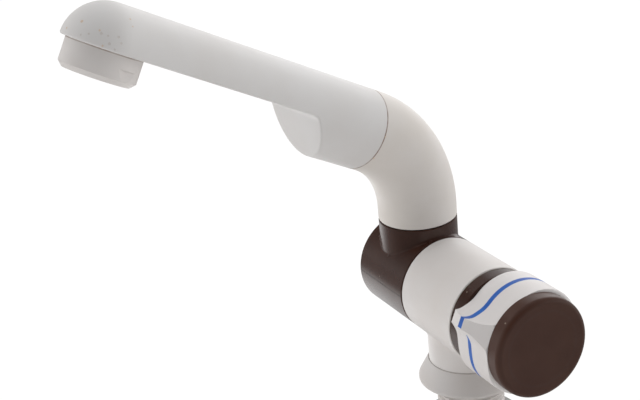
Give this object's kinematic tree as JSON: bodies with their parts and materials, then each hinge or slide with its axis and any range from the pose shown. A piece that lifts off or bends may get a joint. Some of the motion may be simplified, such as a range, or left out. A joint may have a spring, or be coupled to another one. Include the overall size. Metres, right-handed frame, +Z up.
{
  "type": "cold water tap",
  "caption": "Fold-down cold water tap with a swivelling spout, a quarter-turn knob with a pointer nose, a built-in pump switch and a threaded deck shank.",
  "frame": {"origin": "where the axis of the stem meets the deck, in the plane of the underside of the flange", "axes": "+Z up out of the deck; the barrel lies along Y with the knob towards -Y; the spout reaches and folds towards -X"},
  "size_m": [0.1647, 0.1016, 0.2424],
  "materials": {
    "white_plastic": "satin moulded, warm white",
    "brown_plastic": "satin moulded, dark brown",
    "blue_plastic": "moulded inlay, blue",
    "grey_plastic": "moulded, matt grey",
    "black_plastic": "moulded, matt black",
    "black_rubber": "moulded seal rubber",
    "brass": "turned",
    "steel": "stainless, plain",
    "ceramic": "lapped ceramic"
  },
  "bodies": {
    "stand": {"tap_body": "white_plastic", "deck_flange": "white_plastic", "deck_gasket": "black_rubber", "back_washer": "grey_plastic", "back_nut": "grey_plastic", "hose_tail": "brass", "tail_o_ring": "black_rubber", "cable_grommet": "black_rubber", "front_collar": "brown_plastic", "valve_bonnet": "brass", "bonnet_o_ring": "black_rubber", "valve_seat_seal": "black_rubber", "fixed_disc": "ceramic", "microswitch_case": "black_plastic", "switch_terminals": "brass", "switch_screws": "steel", "pivot_tube": "brass", "pivot_o_rings": "black_rubber", "pivot_washer": "black_plastic", "pivot_clip": "steel", "fold_stop_pin": "steel"},
    "knob": {"knob_grip": "white_plastic", "knob_stripe_upper": "blue_plastic", "knob_stripe_lower": "blue_plastic", "knob_cap": "brown_plastic", "knob_washer": "steel", "knob_screw": "steel", "spindle": "brass", "spindle_o_ring": "black_rubber", "spindle_clip": "steel", "turning_disc": "ceramic", "switch_cam": "black_plastic"},
    "plunger": {"switch_plunger": "black_plastic"},
    "fold_barrel": {"swivel_barrel": "brown_plastic", "rear_cap": "brown_plastic", "spout_lock_screw": "steel"},
    "spout": {"spout_elbow": "white_plastic", "spigot_o_rings": "black_rubber", "spout_arm": "white_plastic", "arm_o_ring": "black_rubber", "nozzle": "white_plastic", "nozzle_seal": "black_rubber", "aerator_insert": "grey_plastic"}
  },
  "joints": [
    {"name": "fold", "type": "hinge", "parent": "stand", "child": "fold_barrel", "pos_m": [0, 0.0337, 0.0338], "axis": [0, -1, 0], "range_deg": [0, 90]},
    {"name": "spout_swivel", "type": "hinge", "parent": "fold_barrel", "child": "spout", "pos_m": [0, 0.0337, 0.0535], "axis": [0, 0, 1], "continuous": true},
    {"name": "knob_turn", "type": "hinge", "parent": "stand", "child": "knob", "pos_m": [0, -0.02, 0.0338], "axis": [0, -1, 0], "range_deg": [0, 90]},
    {"name": "switch_press", "type": "slide", "parent": "stand", "child": "plunger", "axis": [0, 0, 1], "range_m": [0, 0.0008]}
  ],
  "couplings": [
    {"joint": "switch_press", "follows": "knob_turn", "m_per_rad": 0.000509}
  ]
}
